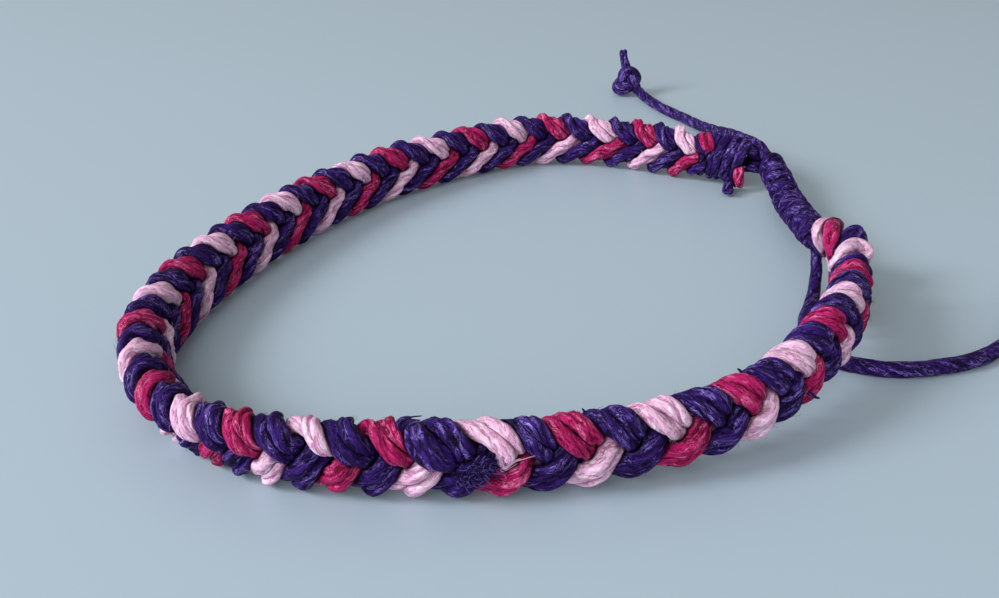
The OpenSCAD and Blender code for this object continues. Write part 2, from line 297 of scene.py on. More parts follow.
def way_rows(strand, quarter, way):
    """One cord's rows of (turn, across, out, share of thickness) from end to end of the braid."""
    rows = np.array([(m + part - PATTERN_START + quarter / 4, across * ACROSS_PITCH, out * OUT_PITCH, 1.0)
                     for m in PATTERN_TURNS for part, across, out in ways[way]])
    for row in rows:
        for name, which, turn, reach, *more in uneven_leaves:
            if (name, which) == (strand, way):
                row += bump(row[0] - turn, reach) * np.array(more)
        row[1:3] *= START_SHARE + (1 - START_SHARE) * min(1.0, max(0.0, (row[0] - WIDENS_FROM) / WIDENS_OVER))
        row[1] *= 1 - DRAWN_TIGHT * bump(row[0] - TIGHTEST_TURN, TIGHT_REACH) ** 0.5
    ends = [[np.interp(u, rows[:, 0], rows[:, k]) for k in range(4)] for u in (TURN_FIRST, TURN_LAST)]
    inner = rows[(rows[:, 0] > TURN_FIRST + A_LITTLE) & (rows[:, 0] < TURN_LAST - A_LITTLE)]
    return np.vstack([ends[0], inner, ends[1]])


# %% [markdown]
# The thickness of a real cord wanders a little as well, and so does its line. Both come from smooth random
# steps with a fixed seed, so that the bracelet is the same on each run.

# %% The strands' lines
# How much the hand strays in mm, and in thickness, and over how many points each time
HAND_WANDER, WANDER_POINTS = 0.045, 11
HAND_THICKNESS, THICKNESS_POINTS = 0.05, 17


def smooth_random(count, every, seed):
    """A smooth random value from -1 to 1 at each of count points, with a new target after every so many."""
    targets = np.random.default_rng(seed).uniform(-1, 1, count // every + 3)
    place = np.arange(count) / every
    part = place - np.floor(place)
    part = part * part * (3 - 2 * part)
    first = np.floor(place).astype(int)
    return targets[first] * (1 - part) + targets[first + 1] * part


def strand_line(strand, quarter, fold):
    """A whole strand's line: out as the leading cord, round its fold, back as the following one, by hand."""
    placed = {way: [[*in_band(*row[:3]), row[3]] for row in way_rows(strand, quarter, way)] for way in ways}
    bend = [[*ahead(row), row[3]] for row in fold]
    line = smooth_line(placed["lead"] + bend + placed["trail"][::-1])
    seed = 10 * quarter + 1
    for axis in range(3):
        line[:, axis] += HAND_WANDER * smooth_random(len(line), WANDER_POINTS, seed + axis)
    line[:, 3] *= 1 + HAND_THICKNESS * smooth_random(len(line), THICKNESS_POINTS, seed + 3)
    return line + [*RING_SHIFT, 0]


strands = {name: strand_line(name, quarter, fold) for quarter, (name, fold) in enumerate(folds.items())}
for name, line in strands.items():
    print("%s strand: %.0f mm of cord" % (name, length_of(line)))

# %% [markdown]
# ## Node trees as Python
#
# Both the shapes and the finishes here are node trees. Two small classes keep them readable: Value wraps
# a socket so that an expression such as 1 - streak adds its Math nodes, and Tree adds any other node from
# its type, what its sockets are given, and its settings.


# %% Helpers for node trees
class Value:
    """An output socket that takes part in Python expressions."""

    def __init__(self, tree, socket):
        self.tree = tree
        self.socket = socket

    def maths(self, operation, *others):
        """A Math node's result for this value and the others."""
        return self.tree.value("ShaderNodeMath", dict(enumerate((self, *others))), operation=operation)

    def __add__(self, other):
        return self.maths("ADD", other)

    def __sub__(self, other):
        return self.maths("SUBTRACT", other)

    def __rsub__(self, other):
        return self.tree.value("ShaderNodeMath", {0: other, 1: self}, operation="SUBTRACT")

    def __mul__(self, other):
        return self.maths("MULTIPLY", other)


class Tree:
    """A node tree that nodes are added to by type, inputs and settings."""

    def __init__(self, nodes_tree):
        self.tree = nodes_tree

    def add(self, kind, inputs=None, **settings):
        """A new node. Each input is a Value, a node that gives its first output, or a constant."""
        node = self.tree.nodes.new(kind)
        for name, value in settings.items():
            setattr(node, name, value)
        for name, value in (inputs or {}).items():
            if isinstance(value, (Value, bpy.types.Node)):
                socket = value.socket if isinstance(value, Value) else value.outputs[0]
                self.tree.links.new(socket, node.inputs[name])
            else:
                node.inputs[name].default_value = value
        return node

    def value(self, kind, inputs=None, output=0, **settings):
        """One output of a new node, by its name or number."""
        return Value(self, self.add(kind, inputs, **settings).outputs[output])

    def typed(self, node, kind):
        """The output of one kind, on a node whose outputs share a name."""
        return Value(self, next(socket for socket in node.outputs if socket.type == kind))

    def captured(self, geometry, kind, name, value):
        """The geometry with a value kept on its points, and that value as the geometry carries it."""
        node = self.add("GeometryNodeCaptureAttribute", {"Geometry": geometry})
        node.capture_items.new(kind, name)
        self.tree.links.new(value.socket, node.inputs[name])
        return node, Value(self, node.outputs[name])

    def vectors(self, operation, *values, **more):
        """A Vector Math node's result."""
        return self.value("ShaderNodeVectorMath", {**dict(enumerate(values)), **more}, operation=operation)

    def part(self, vector, axis):
        """One coordinate of a vector."""
        return self.value("ShaderNodeSeparateXYZ", {"Vector": vector}, axis)

    def noise(self, vector, stretch, detail, roughness=0.5, output="Fac"):
        """Noise about 0.5, read at the vector after it is multiplied by stretch."""
        return self.value("ShaderNodeTexNoise", {
            "Vector": self.vectors("MULTIPLY", vector, stretch), "Scale": 1.0, "Detail": detail,
            "Roughness": roughness}, output)

    def swayed(self, vector, stretch, amount):
        """The vector, moved a little by noise, so that what is drawn with it wanders."""
        noise = self.noise(vector, stretch, detail=1.0, output="Color")
        return self.vectors("MULTIPLY_ADD", self.vectors("SUBTRACT", noise, (0.5, 0.5, 0.5)), amount, vector)


PLIES, PLY_WANDER, PLY_FLATNESS = 3, 2.6, 0.75


def ply_height(tree, lay):
    """The profile of the cord's plies at each place: 0 in the groove between two, 1 on the crest of one."""
    wander = tree.noise(lay, (0.5, 0.5, 0.5), detail=1.0)
    angle = tree.part(lay, "Y").maths("ARCTAN2", tree.part(lay, "X")) + (wander - 0.5) * PLY_WANDER
    return (angle * (PLIES / 2)).maths("SINE").maths("ABSOLUTE").maths("POWER", PLY_FLATNESS)


def group_tree(name, sockets):
    """A Geometry Nodes group with geometry in and out and these inputs, by name and kind."""
    group = bpy.data.node_groups.new(name, "GeometryNodeTree")
    group.interface.new_socket("Geometry", in_out="OUTPUT", socket_type="NodeSocketGeometry")
    for socket_name, kind in {"Geometry": "Geometry", **sockets}.items():
        group.interface.new_socket(socket_name, in_out="INPUT", socket_type="NodeSocket" + kind)
    tree = Tree(group)
    entry = tree.add("NodeGroupInput")
    return tree, {s.name: Value(tree, s) for s in entry.outputs if s.name}


def end_tree(tree, geometry, lay, finish):
    """The end of a tree: plain geometry that carries its lay and its material. Returns the group."""
    plain = tree.add("GeometryNodeRealizeInstances", {"Geometry": geometry})
    marked = tree.add("GeometryNodeStoreNamedAttribute", {"Geometry": plain, "Name": "lay", "Value": lay},
                      data_type="FLOAT_VECTOR")
    finished = tree.add("GeometryNodeSetMaterial", {"Geometry": marked, "Material": finish})
    tree.add("NodeGroupOutput", {"Geometry": finished})
    return tree.tree


def made_by(group, base_object, values):
    """The plain mesh that the group makes from an object, with the modifier's inputs set."""
    modifier = base_object.modifiers.new("made", "NODES")
    modifier.node_group = group
    for item in group.interface.items_tree:
        if item.in_out == "INPUT" and item.name in values:
            modifier[item.identifier] = values[item.name]
    base_object.update_tag()
    bpy.context.view_layer.update()
    seen = base_object.evaluated_get(bpy.context.evaluated_depsgraph_get())
    mesh = bpy.data.meshes.new_from_object(seen)
    base_object.modifiers.remove(modifier)
    return mesh


# %% [markdown]
# ## Sweeping a cord
#
# The real cord is a bundle of cotton fibres in wax, a little ridged, with the ridges winding slowly
# round it. A tube alone looks like plastic, and modelled fibres would be millions. The tree sweeps a
# ring of points along a line, turns it as it goes, and lifts and sinks the surface with noise that is
# stretched along the cord. It also keeps each point's place on the cord, around and along, as an
# attribute named lay, and the finishes read that.

# %% The cord tree
RIDGE_WIDTH, RIDGE_LENGTH = 2.6, 0.9
# The height at which a ply adds nothing, and the shares of the plies and of the finer ridges
PLY_MIDDLE, PLY_SHARE, RIDGE_SHARE = 0.72, 0.85, 0.9
tree, given = group_tree("laid_cord", {
    "Sides": "Int", "Turns per mm": "Float", "Ridge depth": "Float", "Seed": "Float", "Finish": "Material"})
reach_mm = tree.value("GeometryNodeSplineParameter", output="Length") * (1 / MM)
measured, reach = tree.captured(given["Geometry"], "FLOAT", "reach", reach_mm)
turned = tree.add("GeometryNodeSetCurveTilt", {
    "Curve": measured, "Tilt": reach_mm * given["Turns per mm"] * (2 * math.pi)})
circle = tree.add("GeometryNodeCurvePrimitiveCircle", {"Resolution": given["Sides"], "Radius": 1.0})
profile, place = tree.captured(circle, "VECTOR", "place", tree.value("GeometryNodeInputPosition"))
tube = tree.add("GeometryNodeCurveToMesh", {
    "Curve": turned, "Profile Curve": profile, "Scale": tree.add("GeometryNodeInputRadius"),
    "Fill Caps": True})
lay = tree.value("ShaderNodeCombineXYZ", {
    "X": tree.part(place, "X"), "Y": tree.part(place, "Y"), "Z": reach + given["Seed"]})
wandering = tree.swayed(lay, (0.9, 0.9, 1.1), (1.2, 1.2, 1.2))
ridges = tree.noise(wandering, (RIDGE_WIDTH, RIDGE_WIDTH, RIDGE_LENGTH), detail=3.0)
lift = (ply_height(tree, lay) - PLY_MIDDLE) * PLY_SHARE + (ridges - 0.5) * RIDGE_SHARE
offset = tree.vectors("SCALE", tree.add("GeometryNodeInputNormal"), Scale=lift * given["Ridge depth"] * MM)
ridged = tree.add("GeometryNodeSetPosition", {"Geometry": tube, "Offset": offset})
smooth = tree.add("GeometryNodeSetShadeSmooth", {"Geometry": ridged})
cord_group = end_tree(tree, smooth, lay, given["Finish"])
print("cord tree:", len(cord_group.nodes), "nodes")

# %% [markdown]
# ## The finishes
#
# Waxed cotton is satin rather than shiny. Fibres show as streaks along the cord. The colour is painted
# darker where the relief is low, as painted shade in the grooves between plies and fibres, and lighter
# on raised fibre crests, as painted highlight, mixed with lighter streaks that vary at random. Short
# broken lines of wax get a clear coat that catches the light, and a lighter colour there as painted
# glint. Where another cord presses close the colour is painted dark, as shade in the crease. All
# colours are one finish with five shades of their own, read from the lay attribute so that the streaks
# follow every bend.


# %% The waxed cord finish
def srgb(code):
    """A linear colour from a hex code."""
    parts = [int(code[i:i + 2], 16) / 255 for i in (0, 2, 4)]
    return tuple(p / 12.92 if p < 0.04045 else ((p + 0.055) / 1.055) ** 2.4 for p in parts) + (1.0,)


def mixed(tree, factor, low, high):
    """A colour between two others."""
    node = tree.add("ShaderNodeMix", {"Factor": factor, "A": low, "B": high}, data_type="RGBA")
    return tree.typed(node, "RGBA")


def ramp(tree, value, low, high):
    """0 below low, 1 above high, and a smooth step between them."""
    return tree.value("ShaderNodeMapRange", {"Value": value, "From Min": low, "From Max": high},
                      interpolation_type="SMOOTHSTEP")


FIBRE_SHARPNESS = 13.0
# Each layer of fibres: how fast it winds round the cord (radians per mm), and its scale round and along
FIBRE_LAYERS = [(0.50, 3.8, 0.8), (-0.40, 4.4, 1.0), (0.05, 5.2, 0.7)]
FIBRE_RELIEF = 0.10
ROUGHEST, SMOOTHED_BY = 0.75, 0.25
# The share of painted shade where another cord presses close, in the crease
CREASE_SHADE = 0.85
# The share of painted glint on wax lines, the clear coat there, and its roughness
PAINTED_GLINT_SHARE, FLECK_COAT, COAT_ROUGHNESS = 0.8, 0.65, 0.22
SPECULAR = 0.12


def waxed_cord(name, painted_crease_shade, deep, body, streak_and_crest_light, painted_glint):
    """One colour's finish, from five colours: painted shade in creases and between fibres, the body, lighter
    streaks with painted highlight, and painted glint on wax.
    """
    material = bpy.data.materials.new(name)
    material.use_nodes = True
    material.node_tree.nodes.clear()
    tree = Tree(material.node_tree)
    lay = tree.value("ShaderNodeAttribute", output="Vector", attribute_name="lay")
    crease = tree.value("ShaderNodeAttribute", output="Fac", attribute_name="crease")
    reach = tree.part(lay, "Z")
    swayed = tree.swayed(lay, (0.9, 0.9, 1.4), (1.3, 1.3, 1.0))
    crests = None
    for turn, width, length in FIBRE_LAYERS:
        wound = tree.value("ShaderNodeVectorRotate", {"Vector": swayed, "Angle": reach * turn},
                           rotation_type="Z_AXIS")
        fibre = tree.noise(wound, (width, width, length), detail=2.5, roughness=0.6)
        layer = 1 - (fibre - 0.5).maths("ABSOLUTE") * FIBRE_SHARPNESS
        crests = crests.maths("MAXIMUM", layer) if crests else layer
    crests = crests.maths("MAXIMUM", 0.0)
    plies = ply_height(tree, lay)
    strands = ramp(tree, tree.noise(swayed, (2.5, 2.5, 0.9), detail=3.0, roughness=0.6), 0.36, 0.64)
    patches = tree.noise(lay, (1.1, 1.1, 0.7), detail=2.0)
    relief = plies * 0.30 + strands * 0.38 + crests * 0.32
    # Painted shade: the deep colour where the relief is low, in the grooves between plies and fibres
    shade = mixed(tree, ramp(tree, relief, 0.30, 0.60), srgb(deep), srgb(body))
    # Painted highlight on raised fibre crests, mixed with lighter streaks that vary at random
    shade = mixed(tree, ramp(tree, crests * 0.6 + strands * 0.4, 0.46, 0.85), shade, srgb(streak_and_crest_light))
    # Painted glint: short broken lines of wax get a lighter colour as well as a clear coat
    shine = ramp(tree, crests * 0.8 + strands * 0.2, 0.74, 0.94) * ramp(tree, patches, 0.46, 0.58)
    shade = mixed(tree, shine * PAINTED_GLINT_SHARE, shade, srgb(painted_glint))
    # Painted shade in the crease, where another cord presses close
    shade = mixed(tree, ramp(tree, crease, 0.10, 0.90) * CREASE_SHADE, shade, srgb(painted_crease_shade))
    normal = tree.value("ShaderNodeBump", {
        "Height": plies * 0.30 + crests * 0.35 + strands * 0.35, "Distance": FIBRE_RELIEF * MM})
    shader = tree.add("ShaderNodeBsdfPrincipled", {
        "Base Color": shade, "Roughness": ROUGHEST - strands * SMOOTHED_BY, "Coat Weight": shine * FLECK_COAT,
        "Normal": normal, "Specular IOR Level": SPECULAR, "Coat Roughness": COAT_ROUGHNESS})
    tree.add("ShaderNodeOutputMaterial", {"Surface": shader})
    return material


finishes = {
    "purple": waxed_cord("purple_cord", "050010", "0b021e", "1e0841", "3b1a75", "a084e8"),
    "magenta": waxed_cord("magenta_cord", "2a000c", "5a0020", "a20e52", "c42a70", "f48ebc"),
    "pink": waxed_cord("pink_cord", "86406a", "bc769e", "ecb0d6", "f8d0ea", "fff6fd"),
    # A lighter copy of the purple, painted light for the lit curls of the frayed spot
    "loose": waxed_cord("lit_purple_fibre", "2c165c", "402880", "6a50ba", "8e78d8", "d0c6fa")}
print("finishes:", ", ".join(finishes))

# %% [markdown]
# ## Cords as curves
#
# Each cord starts as a poly curve whose points are already a step apart, with the cord's radius on every
# point. The tree then returns a mesh whose rings are in the same order as the points, and this lets the
# next step find the ring that a point belongs to.

# %% Making one cord
SIDES = 28
TWIST = 0.12
# How deep the ridges are, in mm: in the braid, and on the smoother free and knotted cord
RIDGE_DEPTH, SMOOTH_RIDGES = 0.22, 0.09
cords = []


def tubes(name, lines, shares, diameter, colour, seed, sides, twist, ridges):
    """The mesh that the cord tree makes along lines in mm, with a share of the thickness at each point."""
    curve = bpy.data.curves.new(name, "CURVE")
    curve.dimensions = "3D"
    for line, share in zip(lines, shares):
        points = curve.splines.new("POLY").points
        points.add(len(line) - 1)
        points.foreach_set("co", np.column_stack([line[:, :3] * MM, np.ones(len(line))]).ravel())
        points.foreach_set("radius", share * diameter / 2 * MM)
    mesh = made_by(cord_group, in_scene(name + "_line", curve), {
        "Sides": sides, "Turns per mm": twist, "Ridge depth": ridges, "Seed": seed,
        "Finish": finishes[colour]})
    bpy.data.curves.remove(curve)
    return mesh


def rounded_tips(reach, diameter, tips):
    """The share of the thickness along a cord whose tips are rounded off to the given shares."""
    share = np.ones(len(reach))
    for distance, tip in ((reach, tips[0]), (reach[-1] - reach, tips[1])):
        near = np.clip(distance / (diameter / 2), 0, 1)
        share *= tip + (1 - tip) * np.sqrt(near * (2 - near))
    return share


def cord_mesh(name, line, diameter, seed, colour="purple", sides=SIDES, tips=(0.35, 0.35),
              ridges=RIDGE_DEPTH):
    """The mesh of a cord along a line in mm; a fourth column of the line is its share of the thickness."""
    line = np.array(line, float)
    thickness = line[:, 3] if line.shape[1] > 3 else np.ones(len(line))
    line = line[:, :3]
    reach = reaches_of(line)
    share = thickness * rounded_tips(reach, diameter, tips)
    mesh = tubes(name, [line], [share], diameter, colour, seed, sides, TWIST, ridges)
    mesh.name = name
    cords.append({"mesh": mesh, "line": line, "radius": share * diameter / 2, "sides": sides, "reach": reach})
    return mesh


# %% The tails and the braid as meshes
# The near tail is stretched thin where it leaves the knots, and grows full over so many mm
STRETCHED_THIN, FULL_AFTER, GROWTH = 0.76, 9.0, 1.5
near_part = np.clip(reaches_of(near_tail_line) / FULL_AFTER, 0, 1)
near_share = STRETCHED_THIN + (1 - STRETCHED_THIN) * near_part ** GROWTH
far_tail_mesh, near_tail_mesh = (
    cord_mesh(name, line, FREE_CORD, seed=seed, tips=(1.0, 0.35), ridges=SMOOTH_RIDGES)
    for name, line, seed in (("far_tail", far_tail_line, 3.0),
                             ("near_tail", np.column_stack([near_tail_line, near_share]), 57.0)))
link_meshes = [
    cord_mesh("tail_link", line, FREE_CORD * share, seed=seed, tips=(0.4, 1.0), ridges=SMOOTH_RIDGES)
    for line, share, seed in ((far_tail_link, 1.0, 31.0), (near_tail_link, STRETCHED_THIN, 37.0))]
strand_colours = {name: name.split("_")[0] for name in strands}
strand_meshes = {}
for number, (name, line) in enumerate(strands.items()):
    strand_meshes[name] = cord_mesh(
        "braid_" + name, line, BRAID_CORD, seed=100.0 * number, colour=strand_colours[name])
    print("braid_%s: %d vertices" % (name, len(strand_meshes[name].vertices)))

# %% [markdown]
# ## The wrap at the far end
#
# The braid's ends are bound by a purple cord wound round them, a little flat like the braid itself. A
# coil is one helix on an oval, so its line is a formula: the angle grows, and the middle moves along the
# wrap's own axis.

# %% The wrap
# The thickness of the coil's cord, of what it binds, and of the short magenta turn on top of it
WRAP_CORD, WRAP_CORE, MAGENTA_TURN = 1.05, 2.3, 1.25
WRAP_TURNS, WRAP_POINTS = 4.8, 260
# The coil's half width and half height in mm, and how far each turn leans along it
WRAP_WIDE, WRAP_HIGH, WRAP_LEAN = 1.15, 1.75, 0.45
# The share of the line that it leaves free at each end, its size there, and what its middle and slips add
WRAP_MARGIN, END_SIZE, MIDDLE_ADDS, SLIP_ADDS = 0.08, 0.90, 0.12, 0.3


def unit(vector):
    """The vector at length 1."""
    return vector / np.linalg.norm(vector)


def level_across(way):
    """The level direction square to a way, at length 1."""
    return np.array([-way[1], way[0], 0]) / math.hypot(way[0], way[1])


def line_through(rows, step=STEP):
    """A smooth line through rows that are measured about the bracelet's middle."""
    return smooth_line(rows, step) + RING_SHIFT


wrap_axis = np.array([(17.6, 22.9, 2.65), (22.0, 20.5, 2.55)]) + RING_SHIFT
wrap_way = unit(wrap_axis[1] - wrap_axis[0])
wrap_out = level_across(wrap_way)
# How far each half turn of the coil lies out of its neat place: along the wrap, and away from its middle
wrap_slips = np.array([
    (0, 0), (0.25, 0.10), (-0.2, -0.05), (0.3, 0.18), (0.1, -0.1), (-0.3, 0.12), (0.25, 0.0), (-0.15, 0.2),
    (0.2, -0.12), (0, 0.0)])


def wrap_point(part):
    """A point of the coil, part of the way along it."""
    angle = 2 * math.pi * WRAP_TURNS * part
    place = part * (len(wrap_slips) - 1)
    slip, swell = (np.interp(place, range(len(wrap_slips)), column) for column in wrap_slips.T)
    middle = wrap_axis[0] + (wrap_axis[1] - wrap_axis[0]) * (WRAP_MARGIN + (1 - 2 * WRAP_MARGIN) * part)
    bulge = END_SIZE + MIDDLE_ADDS * math.sin(math.pi * part) + SLIP_ADDS * swell
    lean = WRAP_LEAN * math.sin(angle) + slip
    return (middle + wrap_out * WRAP_WIDE * bulge * math.cos(angle)
            + np.array([0, 0, 1]) * WRAP_HIGH * bulge * math.sin(angle) + wrap_way * lean)


wrap_line = even_steps(np.array([wrap_point(p) for p in np.linspace(0, 1, WRAP_POINTS)]))
wrap_mesh = cord_mesh("end_coil", wrap_line, WRAP_CORD, seed=411.0)
core_line = smooth_line([wrap_axis[0] + wrap_way * d for d in (-0.6, 1.2, 3.2, 4.9)])
core_mesh = cord_mesh("end_core", core_line, WRAP_CORE, seed=433.0, tips=(0.6, 0.5))
turn_rows = [(18.2, 22.3, 4.5), (18.1, 21.5, 4.5), (18.3, 21.1, 4.1), (18.6, 21.2, 3.6), (18.9, 21.8, 3.3)]
turn_mesh = cord_mesh("magenta_turn", line_through(turn_rows), MAGENTA_TURN, seed=447.0, colour="magenta")
print("the coil takes %.0f mm of cord" % length_of(wrap_line))

# %% [markdown]
# ## The sliding knots
#
# Between the wrap and the loop the two closing cords pass each other inside a row of square knots, which
# slides to change the size. In a square knot one cord always passes in front and its partner behind, and
# they change sides at each half knot. That is a rule, so both lines are formulas on top of the row's own
# gentle curve.

# %% The row of square knots
KNOT_CORD, KNOT_CORE, FIRST_TURN = 0.92, 0.8, 1.05
CORE_ASIDE = 0.40
# How far a knotting cord reaches to each side and to the front, and how far it dips at a side
KNOT_REACH, KNOT_DIP = 0.86, 0.28
KNOT_LEAN = math.radians(35)
# One knot's length, what is left free at each end of the row, and how far crossings shift along it
KNOT_LENGTH, KNOT_MARGIN, KNOT_SHIFT = 2.35, 0.55, 0.22
POINTS_PER_KNOT, SLACK_POINTS = 48, 19
# What slack adds along the row, in mm, and to the size
SLACK_ALONG, SLACK_SWELL = 0.18, 0.10
# The row's size at its slim near end, how many mm are slim, and how much thinner its cord is there
KNOT_END_SHARE, SLIM_OVER, THINS_BY = 0.64, 3.2, 0.14
ROUNDNESS = 0.7
knot_rows = [(24.1, 20.0, 2.6), (24.1, 16.0, 2.3), (24.0, 12.5, 2.1), (23.8, 9.0, 2.2),
             (23.8, 4.6, 2.6), (23.5, 0.3, 3.0)]
knot_axis = line_through(knot_rows, step=0.1)
knot_reach = length_of(knot_axis)


def beside_axis(distance, side, front):
    """A point beside the row's own line: so far along it, to its side and to its front."""
    place = min(max(distance, 0.0), knot_reach) / knot_reach * (len(knot_axis) - 1)
    i = min(int(place), len(knot_axis) - 2)
    middle = knot_axis[i] + (knot_axis[i + 1] - knot_axis[i]) * (place - i)
    way = unit(knot_axis[i + 1] - knot_axis[i])
    level = level_across(way)
    side_way = level * math.cos(KNOT_LEAN) + np.cross(way, level) * math.sin(KNOT_LEAN)
    return middle + side_way * side + np.cross(side_way, way) * front


def knot_swell(distance):
    """The row's thickness: slimmer at its near end, and full over the rest."""
    left = min(1.0, max(0.0, (knot_reach - distance) / SLIM_OVER))
    return KNOT_END_SHARE + (1 - KNOT_END_SHARE) * left ** ROUNDNESS


def knotting_line(hand, seed):
    """The line of one knotting cord: hand 1 passes in front, hand -1 behind."""
    count = round(knot_reach / KNOT_LENGTH)
    pitch = (knot_reach - 2 * KNOT_MARGIN) / count
    steps = count * POINTS_PER_KNOT + 1
    points = []
    for turn, loose in zip(np.linspace(0, count, steps), smooth_random(steps, SLACK_POINTS, seed)):
        angle = 2 * math.pi * turn
        distance = KNOT_MARGIN + pitch * turn + KNOT_SHIFT * hand * math.sin(2 * angle) + SLACK_ALONG * loose
        swell = knot_swell(distance) * (1 + SLACK_SWELL * loose)
        crossing = abs(math.sin(angle))
        side = -hand * KNOT_REACH * math.cos(angle)
        front = hand * (KNOT_REACH * crossing ** ROUNDNESS - KNOT_DIP * (1 - crossing))
        share = 1 - THINS_BY + THINS_BY * knot_swell(distance)
        points.append([*beside_axis(distance, side * swell, front * swell), share])
    return even_steps(points)


knot_meshes = [
    cord_mesh("knotting_cord", knotting_line(hand, seed), KNOT_CORD, seed=float(seed), ridges=SMOOTH_RIDGES)
    for hand, seed in ((1, 503), (-1, 557))]
for side, seed in ((CORE_ASIDE, 601.0), (-CORE_ASIDE, 641.0)):
    core = np.array([beside_axis(d, side * knot_swell(d), 0.0) for d in np.arange(0.0, knot_reach, 0.2)])
    knot_meshes.append(cord_mesh("core_cord", core, KNOT_CORE, seed=seed, sides=14))
first_line = line_through([(23.9, 19.3, 3.1), (24.4, 19.0, 3.25), (24.7, 18.3, 2.9), (24.6, 17.4, 2.4)])
knot_meshes.append(cord_mesh("first_turn", first_line, FIRST_TURN, seed=677.0, ridges=SMOOTH_RIDGES))
knot_meshes += link_meshes
print("row of square knots: %.1f mm" % knot_reach)

# %% The closing cords
CLOSING_CORD, LOOP_CORD = 1.08, 0.95
closing_rows = [
    [(21.0, 21.0, 3.4), (22.0, 20.6, 3.45), (22.8, 20.6, 3.3), (23.5, 20.6, 3.0), (24.0, 20.2, 2.9),
     (24.2, 19.3, 2.8)],
    [(21.0, 20.8, 2.14), (22.0, 20.3, 2.14), (22.8, 20.2, 2.08), (23.5, 20.3, 2.0), (23.9, 19.9, 2.1),
     (24.1, 19.0, 2.1)],
    [(21.1, 21.4, 2.4), (22.2, 21.0, 2.4), (23.0, 20.9, 2.4), (23.7, 20.9, 2.3), (24.2, 20.4, 2.4),
     (24.3, 19.4, 2.5)]]
closing_meshes = [cord_mesh("closing_cord", line_through(rows), CLOSING_CORD, seed=701.0 + 31 * i)
                  for i, rows in enumerate(closing_rows)]
loop_line = line_through([ahead(row) for row in loop_way])
loop_mesh = cord_mesh("loop_cord", loop_line, LOOP_CORD, seed=751.0)
print("cord through the folds: %.0f mm" % length_of(loop_line))

# %% [markdown]
# ## The end knots and the cut ends
#
# Each tail ends in an overhand knot, drawn tight, with a short end standing out of it. An overhand knot
# is a trefoil that is cut open, so a trefoil's formula gives its line, and the pressing step pulls its
# crossings tight. The far end of the braid also shows two cut ends below the wrap.

# %% The end knots
END_KNOT_CORD = 1.05
END_KNOT_SIZE, END_KNOT_DEPTH, END_KNOT_DRAWN = 0.56, 1.4, 0.80
END_KNOT_OPEN, END_KNOT_POINTS = 0.55, 60
# How thick the cord is in the knot and beside it, and how far from the middle it goes in and out
END_KNOT_SWELL, BESIDE_SWELL, GOES_IN, GOES_OUT = 1.42, 1.1, 1.35, 1.2
KNOT_STARTS_BEFORE = 5


def end_knot_line(middle, tail, tip):
    """The line of a tight overhand knot, from just inside the tail's end to the tip of its short end."""
    enter, leave = unit(tail[-1] - middle), unit(tip - middle)
    side = unit(np.cross(enter, leave))
    up = np.cross(side, enter)
    inner = []
    for a in np.linspace(END_KNOT_OPEN, 2 * math.pi - END_KNOT_OPEN, END_KNOT_POINTS) + math.pi:
        turn = END_KNOT_SIZE * (
            -enter * (math.cos(a) - 2 * math.cos(2 * a)) + up * (math.sin(a) + 2 * math.sin(2 * a))
            - side * END_KNOT_DEPTH * math.sin(3 * a))
        inner.append([*middle + turn * END_KNOT_DRAWN, END_KNOT_SWELL])
    rows = [[*tail[-KNOT_STARTS_BEFORE], 1.0], [*tail[-1], 1.0], [*middle + enter * GOES_IN, BESIDE_SWELL],
            *inner[4:-4:4], [*middle + leave * GOES_OUT, BESIDE_SWELL], [*tip, 0.9]]
    return smooth_line(rows, step=0.12)


# Each knot's middle, the tip of its short end, and the tail that it ends
knot_places = {
    "far": ((14.1, 52.6, 1.55), (13.5, 54.8, 5.0), far_tail_line),
    "near": ((36.7, -9.2, 1.55), (38.0, -8.2, 4.3), near_tail_line)}
end_knot_meshes = {}
for number, (name, (middle, tip, tail)) in enumerate(knot_places.items()):
    knot_line = end_knot_line(middle + RING_SHIFT, tail, tip + RING_SHIFT)
    end_knot_meshes[name] = cord_mesh(
        name + "_end_knot", knot_line, END_KNOT_CORD, seed=811.0 + 50 * number, tips=(1.0, 0.7))
    print("%s end knot: %.0f mm of cord" % (name, length_of(knot_line)))

# %% The cut ends below the wrap
cut_rows = {
    "magenta": [(20.65, 20.6, 2.3), (21.15, 19.6, 2.0), (21.1, 19.0, 1.2), (21.0, 18.7, 0.6)],
    "purple": [(20.4, 19.4, 0.9), (20.2, 18.8, 0.75), (20.0, 18.1, 0.65), (19.8, 17.4, 0.6)]}
cut_meshes = {
    colour: cord_mesh("cut_end_of_" + colour, line_through(rows), BRAID_CORD, seed=901.0, colour=colour,
                      tips=(1.0, 0.7)) for colour, rows in cut_rows.items()}
print(len(cut_meshes), "cut ends")

# %% [markdown]
# ## Pressing the cords together
#
# Drawn tight, soft cords have no gaps and never pass through each other: each is flat where its
# neighbour lies. The step looks at every ring. Where another cord's centre is nearer than two radii, the
# ring's points stay on their own side of the plane halfway between the two centres.

# %% Pressing
SAME_CORD_APART = 2.4
JOINED_WITHIN = 0.66
SEAM = 0.012
# How far from a neighbour the crease value fades, in mm, and how much less a cord's own other part counts;
# the finishes paint shade by it
CREASE_WIDTH, SAME_CREASE = 0.16, 0.10
TABLE_GAP = 0.012
# The least distance of two centres, in mm, and the number of radii within which a plane can press
LEAST_APART, OUT_OF_REACH = 0.05, 1.2


